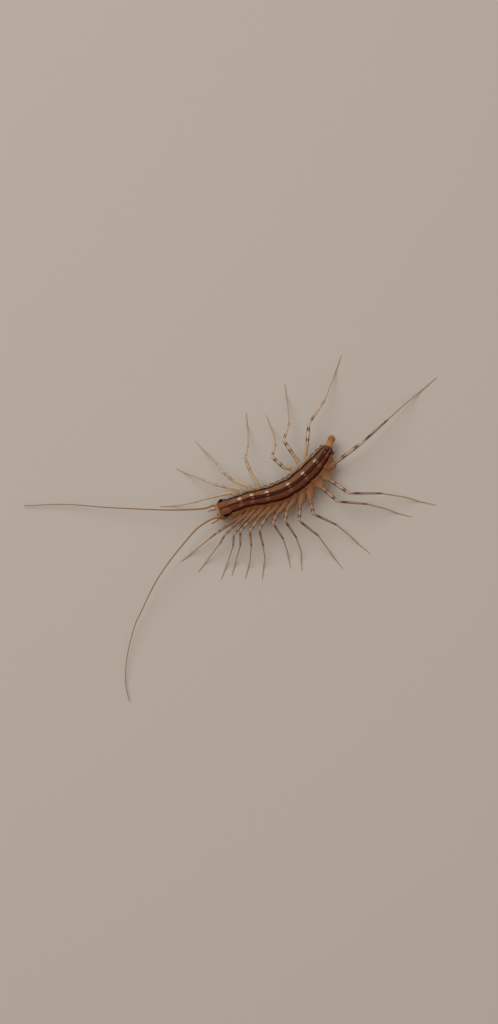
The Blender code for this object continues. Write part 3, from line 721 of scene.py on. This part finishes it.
tone = tint(tree, fade(tree, mark_of(tree, "tip"), 0.15, 0.75), TAIL_PALE, TAIL_ORANGE)
tone = stain(tree, tone, mark_of(tree, "ring"), 0.6, FOLD_BROWN)
grain_over(tree, shader, tone, 6000.0, 0.5, 0.35, 0.35, 0.6)
add_piece("tail_cone", tail, tail_finish, "tail", "tail")

# Legs: twenty are left of the thirty.  Each is a chain of hollow chitin tubes joined by
# thin skin: a short ring on the hip, a stout thigh, shin and lower shin with thorns at
# their far ends, then a whip of many small rings that lies along the floor to a claw.
GAP = 0.25
GIRTH = {1: 0.76, 2: 0.80, 3: 0.83, 4: 0.86, 5: 0.90, 6: 0.94, 7: 0.96}
LIMB_CREAM = (0.80, 0.64, 0.47, 1.0)
# The left legs show this darker orange where they get little cream: painted shade; the head takes it too, in
# random blotches.
LIMB_ORANGE = (0.27, 0.108, 0.043, 1.0)
LIMB_GOLD = (0.50, 0.40, 0.225, 1.0)
LIMB_DARK = (0.120, 0.060, 0.052, 1.0)
LIMB_BROWN = (0.20, 0.095, 0.045, 1.0)
SIDE_LINES = {"thigh": 0.25, "shin": 0.92, "lower": 0.82, "ring": 0.1}
THORN_MARKS = {"dark": 0.75, "cream": 0.5, "gold": 0.0, "ring": 0.0}
WHIP_RADII = [0.145, 0.13, 0.12, 0.10, 0.075, 0.045]


def bands_of(side, number, part):
    """Where the dark bands lie along a thigh or shin, as (middle, half length, strength)."""
    rear = min(1.0, max(0.70 if side == "left" else 0.0, (number - 2) / 7.0))
    if part == "shin":
        return [(0.0, 0.12, 0.6 * rear), (0.29, 0.10, 0.22 + 0.60 * rear), (0.76, 0.10, 0.25 + 0.68 * rear)]
    if part == "lower":
        return [(0.20, 0.12, 0.20 + 0.40 * rear), (0.90, 0.09, 0.45)]
    return [(0.88, 0.10, 0.15 + 0.25 * rear)]


def limb_marks(side, number, part, cream):
    """The marks of one tube: dark at the bands and along both sides, pale elsewhere."""
    bands = bands_of(side, number, part)
    side_line = SIDE_LINES[part]
    # The lower shins are darker all over, and the left ones more so: that extra is painted shade.
    dusk = 0.0 if part != "lower" else (0.30 if side == "left" else 0.12)

    def marked(s, angle):
        band = max(strength * bell(s - middle, wide) for middle, wide, strength in bands)
        flank = abs(math.sin(angle)) ** 2.4
        dark = band * (0.66 + 0.3 * flank) + side_line * flank * (0.45 if s < 0.08 else 0.8)
        dark = min(1.0, dark + (dusk if s > 0.08 else 0.0))
        return {"dark": dark, "cream": cream(s), "gold": 0.0, "ring": 0.0}

    return marked


def ridged(angle):
    """The five low ridges of a limb's tube."""
    return 1.0 + 0.045 * math.cos(5.0 * angle)


def add_tube(limb, leg, part, points, radii, cream, form=ridged, step=0.10, broad=None):
    """One tube of a limb: narrow where it is set into the last one, flared at its far end."""
    side, number = leg
    radii = [radius * GIRTH.get(number, 1.0) for radius in radii]
    path, drawn, lengths = smooth_path(points, radii, step)
    whole = lengths[-1]
    for k, length in enumerate(lengths):
        flare = 1.0 + 0.09 * bell(whole - length - 0.10, 0.10)
        drawn[k] = drawn[k] * (1.0 - 0.30 * bell(length, 0.12)) * flare
    sides = 16 if part == "lower" else 20
    rings = tube_rings(path, drawn, sides, form)
    shares = with_ends([length / whole for length in lengths], 0.0, 1.0)
    if broad:
        axes = frames_along(path)
        for r, ring in enumerate(rings):
            row = min(max(r - 3, 0), len(path) - 1)
            across = axes[row][0]
            more = broad(shares[r]) - 1.0
            ring[:] = [point + across * (point - path[row]).dot(across) * more for point in ring]
    marked = limb_marks(side, number, part, cream)
    add_rings(limb, rings, lambda r, k: marked(shares[r], math.tau * k / sides))
    return path[-1], (path[-1] - path[-2]).normalized()


def small_rings(radii, lengths, pitch, least, swell, seam_from):
    """Radii that swell in each of many small rings, and a mark for the seams between them."""
    beats = [(length / pitch) % 1.0 for length in lengths]
    radii = [radius * (least + swell * beat) for radius, beat in zip(radii, beats)]
    return radii, with_ends([1.0 if beat > seam_from else 0.0 for beat in beats], 0.0, 0.0)


def on_floor(path, radii, gap):
    """The path, raised where its tube would sink into the board."""
    return [Vector((p.x, p.y, max(p.z, radius + gap))) for p, radius in zip(path, radii)]


def around(axes, angle):
    """The way out from a path, at this angle from its top."""
    return axes[0] * math.sin(angle) + axes[1] * math.cos(angle)


limb_finish, tree, shader = new_finish("limb_chitin", 0.45, 0.05, 0.30)
tone = tint(tree, mark_of(tree, "cream"), LIMB_ORANGE, LIMB_CREAM)
tone = tint(tree, mark_of(tree, "gold"), tone, LIMB_GOLD)
blotch = reckon(tree, "SUBTRACT", noise(tree, 2300.0, 3.0), 0.5)
dark = reckon(tree, "MULTIPLY_ADD", blotch, 0.28, mark_of(tree, "dark"))
tone = tint(tree, fade(tree, dark, 0.22, 0.85), tone, LIMB_DARK)
tone = stain(tree, tone, mark_of(tree, "ring"), 0.55, LIMB_BROWN)
grain_over(tree, shader, tone, 8000.0, 0.35, 0.30, 0.38, 0.62)


def room_for(side, number, way):
    """Half the way from a limb's root to its neighbours' roots, square to the limb."""
    near = [root_of(side, n)[1] for n in (number - 1, number + 1) if (side, n) in LEGS]
    other = near[1] if len(near) == 2 else root_of(side, number)[1]
    return (near[0] - other).cross(way).length / len(near) / 2.0


for leg, joints in LEGS.items():
    side, number = leg
    face, outward = root_of(side, number)[1:3]
    thigh_end, knee, ankle, middle = [on_plan(*joint) for joint in joints[:4]]
    tip = on_plan(*joints[4], 0.06)
    girth = GIRTH.get(number, 1.0)
    # The right legs, turned to the lamp, keep their cream; the left legs get almost none and so show the
    # darker orange: painted shade.
    sunny = 1.0 if side == "right" else 0.08
    stout = 0.58 if side == "left" else (0.52 if number < 10 else 0.47)
    limb = new_shape("dark", "cream", "gold", "ring")
    collar = face + outward * (GAP + 0.32)
    crowd = 1.0
    if side == "left":
        room = room_for(side, number, (thigh_end - collar).normalized())
        crowd = max(1.0, room * 1.32 / (stout * girth))
    points = [face - outward * 0.22, face + outward * 0.12, collar]
    radii = [0.46, stout * 0.94, stout * 0.94]
    # The left hip rings get little cream: painted shade.
    add_tube(limb, leg, "ring", points, radii, lambda s: sunny * 0.7, None, 0.05, lambda s: crowd)

    bow = outward * 0.06
    points = [collar - outward * 0.10, collar.lerp(thigh_end, 0.3) + bow]
    points += [collar.lerp(thigh_end, 0.62) + bow * 0.3, thigh_end]
    radii = [stout, stout * 0.95, stout * 0.80, 0.35]
    # Left thighs are painted in shade, darkest by the body and a little paler towards their ends.
    pale = sunny * (0.9 if number < 10 else 0.72)
    cream = lambda s: pale + 0.14 * (1.0 - sunny) * s ** 2
    broad = lambda s: 1.0 + (crowd - 1.0) * (1.0 - s) ** 0.7
    thigh_tip, thigh_way = add_tube(limb, leg, "thigh", points, radii, cream, broad=broad)

    lift = UP * 0.10
    points = [thigh_end.lerp(knee, 0.02), thigh_end.lerp(knee, 0.5) + lift, knee]
    more = 0.25 * max(0.0, (number - 10) / 3.0)
    # The left shins get less cream than the right ones: painted shade.
    cream = lambda s: 1.0 if side == "right" else 0.22 + 0.36 * s + more
    shin_tip, shin_way = add_tube(limb, leg, "shin", points, [0.31, 0.35, 0.26], cream)
    points = [knee.lerp(ankle, 0.02), knee.lerp(ankle, 0.5) + lift * 0.6, ankle]
    # Lower shins: less cream on the left, as painted shade.
    cream = lambda s: 0.42 + 0.50 * sunny
    lower_tip, lower_way = add_tube(limb, leg, "lower", points, [0.22, 0.235, 0.17], cream)

    landing = middle.lerp(tip, 0.45)
    landing.z = 0.14
    far = middle.lerp(tip, 0.75)
    far.z = 0.09
    spots = [ankle, ankle.lerp(middle, 0.5), middle, landing, far, tip]
    path, radii, lengths = smooth_path(spots, WHIP_RADII, 0.07)
    path = on_floor(path, radii, 0.005)
    radii, seams = small_rings(radii, lengths, 0.34, 0.93, 0.12, 0.78)
    shares = with_ends([length / lengths[-1] for length in lengths], 0.0, 1.0)
    # The left whips are painted darker, with less cream and more gold: painted shade.
    whip_marks = lambda r, k: {
        "dark": 0.22 * math.exp(-shares[r] / 0.10), "cream": 0.35 + 0.5 * sunny,
        "gold": 0.6 + 0.4 * shares[r] - 0.25 * sunny, "ring": seams[r],
    }
    add_rings(limb, tube_rings(path, radii, 10), whip_marks)
    claw_way = (path[-1] - path[-4]).normalized()
    claw = [path[-1], path[-1] + claw_way * 0.10 + UP * 0.02, path[-1] + claw_way * 0.20]
    path, radii, lengths = smooth_path(claw, [0.040, 0.030, 0.010], 0.03)
    rings = tube_rings(on_floor(path, radii, 0.002), radii, 8)
    add_rings(limb, rings, lambda r, k: {"dark": 1.0, "cream": 0.0, "gold": 0.0, "ring": 0.0})

    for end, way, radius, count in (
        (thigh_tip, thigh_way, 0.31 * girth, 5),
        (shin_tip, shin_way, 0.25 * girth, 5),
        (lower_tip, lower_way, 0.16 * girth, 4),
    ):
        for k in range(count):
            out = around(square_to(way), math.tau * (k + 0.3) / count)
            foot = end - way * 0.08 + out * radius * 0.95
            length = 0.34 if k % 2 else 0.22
            add_thorn(limb, foot, (way + out * 0.55).normalized(), length, 0.028, THORN_MARKS)
    for start, end, radius, count in (
        (collar, thigh_end, 0.37 * girth, 16),
        (thigh_end, knee, 0.33 * girth, 24),
        (knee, ankle, 0.215 * girth, 20),
        (middle, landing, 0.12, 14),
    ):
        way = (end - start).normalized()
        for k in range(count):
            out = around(square_to(way), math.tau * (k % 5) / 5.0 + rng.uniform(-0.15, 0.15))
            foot = start.lerp(end, (k + 0.5) / count) + out * radius * 0.9
            add_thorn(limb, foot, (way * 0.9 + out * 0.6).normalized(), 0.13, 0.010, THORN_MARKS)
    add_piece("limb_%s_%02d" % leg, limb, limb_finish, "leg", "leg_%s_%02d" % leg)

# Head: a low brown dome of hard chitin, its rear tucked under the first plate, with a dark
# line down the middle, paler cheeks and an amber lip between the feelers.
HEAD_TURN = math.radians(203.0)
HEAD_LENGTH = 2.85
HEAD_HALF_WIDTH = 1.68
HEAD_MIDDLE_Z = 2.95
HEAD_SHAPE = [
    (-0.50, 0.55, 3.45, 2.45), (-0.46, 0.80, 3.70, 2.25), (-0.32, 0.96, 3.86, 2.12),
    (-0.08, 1.00, 3.94, 2.08), (0.14, 0.99, 3.88, 2.08), (0.32, 0.86, 3.68, 2.12),
    (0.44, 0.62, 3.42, 2.25), (0.50, 0.34, 3.18, 2.45),
]
SOCKET_MARKS = {"offset": 0.7, "ahead": 0.5, "upper": 0.5}
head_forward = Vector((math.cos(HEAD_TURN), math.sin(HEAD_TURN), 0.0))
head_left = Vector((-head_forward.y, head_forward.x, 0.0))
head_middle = on_plan(223.7, 508.3, HEAD_MIDDLE_Z)


def on_head(forward, a, z):
    """A point of the head: forward of its middle, a to the left, z above the board."""
    return head_middle + head_forward * forward + head_left * a + UP * (z - HEAD_MIDDLE_Z)


def head_way(forward, a, z):
    """A direction in the head's own sense."""
    return (on_head(forward, a, z + HEAD_MIDDLE_Z) - on_head(0.0, 0.0, HEAD_MIDDLE_Z)).normalized()


head = new_shape("offset", "ahead", "upper")
grid = []
for row in range(61):
    along = -0.50 + row / 60.0
    wide, top, bottom = follow(HEAD_SHAPE, along)
    grid.append([])
    for k in range(64):
        angle = math.tau * k / 64
        cosine = math.cos(angle)
        sine = math.sin(angle)
        a = math.copysign(abs(cosine) ** 0.85, cosine) * wide * HEAD_HALF_WIDTH
        reach = (top - HEAD_MIDDLE_Z) if sine > 0.0 else (HEAD_MIDDLE_Z - bottom)
        z = HEAD_MIDDLE_Z + math.copysign(abs(sine) ** 0.85, sine) * reach
        if sine > 0.0:
            z = z - 0.06 * bell(a, 0.06) * (1.0 if along > -0.3 else 0.3)
            z = z - 0.05 * bell(along - 0.24 + 0.10 * abs(a), 0.02)
            z = z - 0.05 * bell(along + 0.30, 0.02)
            z = z + 0.05 * bell(abs(a) - 0.62, 0.3) * bell(along - 0.02, 0.2)
        spot = on_head(along * HEAD_LENGTH, a, z)
        grid[row].append((spot, {"offset": a, "ahead": along, "upper": sine}))
add_grid(head, grid)
HEAD_BROWN = (0.25, 0.090, 0.042, 1.0)
HEAD_AMBER = (0.60, 0.34, 0.13, 1.0)
head_finish, tree, shader = new_finish("head_chitin", 0.45, 0.08, 0.08)
offset = reckon(tree, "ABSOLUTE", mark_of(tree, "offset"))
ahead = mark_of(tree, "ahead")
wobble = reckon(tree, "SUBTRACT", noise(tree, 1900.0, 3.0), 0.5)
front = reckon(tree, "MULTIPLY_ADD", wobble, 0.14, ahead)
tone = tint(tree, fade(tree, front, 0.33, 0.43), HEAD_BROWN, HEAD_AMBER)
tone = stain(tree, tone, fade(tree, wobble, 0.0, 0.22), 0.5, LIMB_ORANGE)
tone = tint(tree, fade(tree, mark_of(tree, "upper"), 0.10, -0.25), tone, HEAD_AMBER)
line = reckon(tree, "MULTIPLY_ADD", wobble, 0.20, offset)
line = times(tree, fade(tree, line, 0.20, 0.11), fade(tree, ahead, 0.34, 0.22))
tone = tint(tree, line, tone, STRIPE_DARK)
cheek = reckon(tree, "MULTIPLY_ADD", wobble, 0.3, offset)
cheek = times(tree, fade(tree, cheek, 1.20, 1.42), fade(tree, ahead, -0.10, -0.22))
tone = tint(tree, cheek, tone, STRIPE_DARK)
grain_over(tree, shader, tone, 7000.0, 0.4, 0.3, 0.40, 0.62)
for side in (-1.0, 1.0):
    for spot, way, radius in (
        (on_head(0.92, 0.74 * side, 2.97), head_way(0.78, 0.60 * side, 0.18), 0.36),
        (on_head(1.02, 0.42 * side, 2.50), head_way(0.95, 0.2 * side, -0.30), 0.30),
    ):
        spots = [spot - way * 0.3, spot, spot + way * 0.16, spot + way * 0.24]
        path, radii, lengths = smooth_path(spots, [radius, radius, radius * 0.95, radius * 0.75], 0.04)
        add_rings(head, tube_rings(path, radii, 24), lambda r, k: SOCKET_MARKS)
    for k in range(16):
        foot = on_head(rng.uniform(0.1, 1.3), side * rng.uniform(0.2, 1.2), 0.0)
        wide, top, bottom = follow(HEAD_SHAPE, (foot - head_middle).dot(head_forward) / HEAD_LENGTH)
        off = abs((foot - head_middle).dot(head_left)) / (wide * HEAD_HALF_WIDTH)
        if off < 0.9:
            rise = (top - HEAD_MIDDLE_Z) * (1.0 - off ** 2.3) ** 0.45
            foot.z = HEAD_MIDDLE_Z + rise - 0.08 + side * 0.12
            way = head_way(0.5, 0.2 * side, 0.8)
            add_thorn(head, foot, way, 0.20, 0.012, {"offset": 0.0, "ahead": 0.0, "upper": 1.0})
add_piece("head_capsule", head, head_finish, "head", "head")

# Eyes: two black oval domes on the cheeks, each of a few hundred tiny six-sided lenses.
# They are clear hard chitin over black pigment, so they shine, and sit in the capsule.
EYE_SIZE = (0.56, 0.37, 0.36)
LENSES = 420
EYE_BLACK = (0.004, 0.002, 0.002, 1.0)
EYE_SEAM = (0.012, 0.006, 0.005, 1.0)
eye_finish, tree, shader = new_finish("eye_glass", 0.2, 0.05, 0.0, 0.10)
shader.inputs["Coat Roughness"].default_value = 0.12
tone = tint(tree, fade(tree, mark_of(tree, "lens"), 0.55, 1.0), EYE_BLACK, EYE_SEAM)
grain_over(tree, shader, tone, 9000.0, 0.3, 0.05, 0.14, 0.28)
lenses = kdtree.KDTree(LENSES)
for k in range(LENSES):
    z = 1.0 - 2.0 * (k + 0.5) / LENSES
    turn = k * math.pi * (3.0 - math.sqrt(5.0))
    out = Vector((math.cos(turn), math.sin(turn), 0.0)) * math.sqrt(1.0 - z * z)
    lenses.insert(out + UP * z, k)
lenses.balance()
for side, sign in SIGN.items():
    way = head_way(0.30, 0.92 * sign, 0.28)
    centre = on_head(0.05, 1.40 * sign, 3.36) + way * 0.10
    along = (head_forward - way * head_forward.dot(way)).normalized()
    turn = Matrix((along, way.cross(along), way)).transposed()
    bm = bmesh.new()
    bmesh.ops.create_icosphere(bm, subdivisions=6, radius=1.0)
    eye = new_shape("lens")
    for vertex in bm.verts:
        far = lenses.find(vertex.co)[2] / 0.10
        dome = vertex.co * (1.0 + 0.035 * (1.0 - min(1.0, far) ** 2))
        sized = Vector([length * size for length, size in zip(dome, EYE_SIZE)])
        eye["points"].append(centre + turn @ sized)
        eye["marks"]["lens"].append(min(1.0, far))
    eye["faces"] = [tuple(vertex.index for vertex in face.verts) for face in bm.faces]
    bm.free()
    add_piece("eye_dome_%s" % side, eye, eye_finish, "eye", "eye_%s" % side)

# Feelers: two long whips of several hundred tiny chitin rings, golden brown and paler to
# the tips, each on two stout base joints set in a socket at the front of the head.
ANTENNAE = {
    "right": [
        (208.3, 507.5, 3.5), (200.6, 508.9, 3.9), (185.3, 509.7, 4.2), (170.0, 510.0, 4.1),
        (150.0, 509.5, 3.6), (120.2, 508.1, 2.7), (102.3, 507.1, 2.2), (81.9, 505.3, 1.6),
        (65.9, 504.4, 1.2), (50.0, 504.6, 0.9), (24.0, 505.8, 0.5),
    ],
    "left": [
        (215.0, 518.0, 3.4), (208.3, 520.9, 3.9), (201.9, 525.0, 4.2), (195.5, 530.0, 4.4),
        (183.5, 543.8, 4.3), (170.5, 560.0, 3.9), (157.1, 579.6, 3.3), (149.1, 594.8, 2.8),
        (142.0, 610.0, 2.3), (135.7, 623.4, 1.9), (131.3, 637.7, 1.5), (128.1, 651.1, 1.1),
        (125.9, 667.1, 0.8), (125.6, 680.5, 0.6), (126.7, 690.0, 0.5), (129.3, 700.6, 0.5),
    ],
}
FEELER_GOLD = (0.42, 0.225, 0.060, 1.0)
FEELER_TAN = (0.35, 0.235, 0.135, 1.0)
feeler_finish, tree, shader = new_finish("feeler_chitin", 0.42, 0.2, 0.1)
tone = tint(tree, fade(tree, mark_of(tree, "reach"), 0.0, 0.65), FEELER_GOLD, FEELER_TAN)
tone = stain(tree, tone, mark_of(tree, "ring"), 0.45, LIMB_BROWN)
grain_over(tree, shader, tone, 9000.0, 0.35, 0.25, 0.32, 0.55)
for side, rows in ANTENNAE.items():
    sign = SIGN[side]
    way = head_way(0.78, 0.60 * sign, 0.18)
    start = on_head(1.0, 0.78 * sign, 2.95) + way * GAP
    feeler = new_shape("reach", "ring")
    for fore, aft, thick in ((-0.16, 0.24, 0.26), (0.22, 0.62, 0.235)):
        first = start + way * fore
        last = start + way * aft
        radii = [thick * 0.85, thick, thick * 0.95]
        path, radii, lengths = smooth_path([first, first.lerp(last, 0.5), last], radii, 0.05)
        add_rings(feeler, tube_rings(path, radii, 16), lambda r, k: {"reach": 0.0, "ring": 0.0})
    spots = [start + way * 0.75] + [on_plan(*row) for row in rows]
    path, radii, lengths = smooth_path(spots, [0.2] * len(spots), 0.055)
    shares = [length / lengths[-1] for length in lengths]
    radii = [0.185 - 0.115 * share ** 0.7 for share in shares]
    radii, seams = small_rings(radii, lengths, 0.22, 0.94, 0.10, 0.7)
    shares = with_ends(shares, 0.0, 1.0)
    rings = tube_rings(path, radii, 8)
    add_rings(feeler, rings, lambda r, k: {"reach": shares[r], "ring": seams[r]})
    add_piece("feeler_%s" % side, feeler, feeler_finish, "antenna", "antenna_%s" % side)

# Palps and poison claws: small jointed limbs under the head, of the same orange chitin.
# The palps reach forward like short fingers; the poison claws hook inwards to dark points.
PALPS = {
    "right": [(213.0, 510.4, 1.95), (210.7, 510.4, 1.75), (208.2, 512.1, 1.5)],
    "left": [(218.6, 519.4, 2.0), (216.0, 521.4, 1.85), (213.6, 522.9, 1.7), (211.4, 523.5, 1.5)],
}
CLAWS = {
    "left": [
        (0.40, 0.89, 1.57, 0.37), (0.80, 1.38, 1.55, 0.38), (1.35, 1.72, 1.52, 0.36),
        (1.90, 1.78, 1.48, 0.31), (2.40, 1.55, 1.44, 0.23), (2.75, 1.15, 1.40, 0.14),
        (2.90, 0.78, 1.40, 0.05),
    ],
    "right": [
        (0.35, 0.86, 1.57, 0.37), (0.80, 1.10, 1.52, 0.36), (1.35, 1.20, 1.46, 0.32),
        (1.85, 1.02, 1.42, 0.25), (2.20, 0.72, 1.40, 0.16), (2.38, 0.42, 1.40, 0.05),
    ],
}
mouth_finish, tree, shader = new_finish("mouthpart_chitin", 0.35, 0.3, 0.1)
tone = tint(tree, fade(tree, mark_of(tree, "reach"), 0.72, 1.0), TAIL_ORANGE, STRIPE_DARK)
tone = stain(tree, tone, mark_of(tree, "ring"), 0.6, LIMB_BROWN)
grain_over(tree, shader, tone, 8000.0, 0.4, 0.3, 0.28, 0.5)


def add_mouth_limb(shape, points, radii, joints, dark_tip):
    """A short limb in one sweep, drawn in at each of its joints."""
    path, drawn, lengths = smooth_path(points, radii, 0.03)
    whole = lengths[-1]
    shares = [length / whole for length in lengths]
    dips = [max(bell((share - joint) * whole, 0.05) for joint in joints) for share in shares]
    drawn = [r * (1.06 - 0.26 * dip) for r, dip in zip(drawn, dips)]
    dips = with_ends(dips, 0.0, 0.0)
    reach = with_ends(shares if dark_tip else [0.0] * len(shares), 0.0, 1.0 if dark_tip else 0.0)
    add_rings(shape, tube_rings(path, drawn, 18), lambda r, k: {"reach": reach[r], "ring": dips[r]})
    axes = frames_along(path)
    for k in range(26):
        row = rng.randrange(len(path))
        out = around(axes[row], rng.uniform(0.0, math.tau))
        way = (path[min(row + 1, len(path) - 1)] - path[max(row - 1, 0)]).normalized()
        foot = path[row] + out * drawn[row] * 0.92
        way = (way * 0.7 + out * 0.7).normalized()
        add_thorn(shape, foot, way, 0.13, 0.010, {"reach": 0.0, "ring": 0.8})


for side, rows in PALPS.items():
    sign = SIGN[side]
    way = head_way(0.95, 0.2 * sign, -0.30)
    start = on_head(1.08, 0.42 * sign, 2.46) + way * (GAP - 0.12)
    palp = new_shape("reach", "ring")
    spots = [start, start + way * 0.30] + [on_plan(*row) for row in rows]
    radii = [0.19 - 0.11 * k / (len(spots) - 1) for k in range(len(spots))]
    add_mouth_limb(palp, spots, radii, (0.18, 0.5, 0.78), False)
    add_piece("palp_finger_%s" % side, palp, mouth_finish, "mouthpart", "palp_%s" % side)
for side, sign in SIGN.items():
    forward = -back(TRUNK_FROM)[1]
    rows = [(0.08 - GAP, 0.80, 1.58, 0.36)] + CLAWS[side]
    points = [on_body(TRUNK_FROM, a * sign, z) + forward * (far + GAP) for far, a, z, radius in rows]
    hook = new_shape("reach", "ring")
    add_mouth_limb(hook, points, [row[3] for row in rows], (0.16, 0.36, 0.50), True)
    add_piece("poison_claw_%s" % side, hook, mouth_finish, "mouthpart", "forcipule_%s" % side)
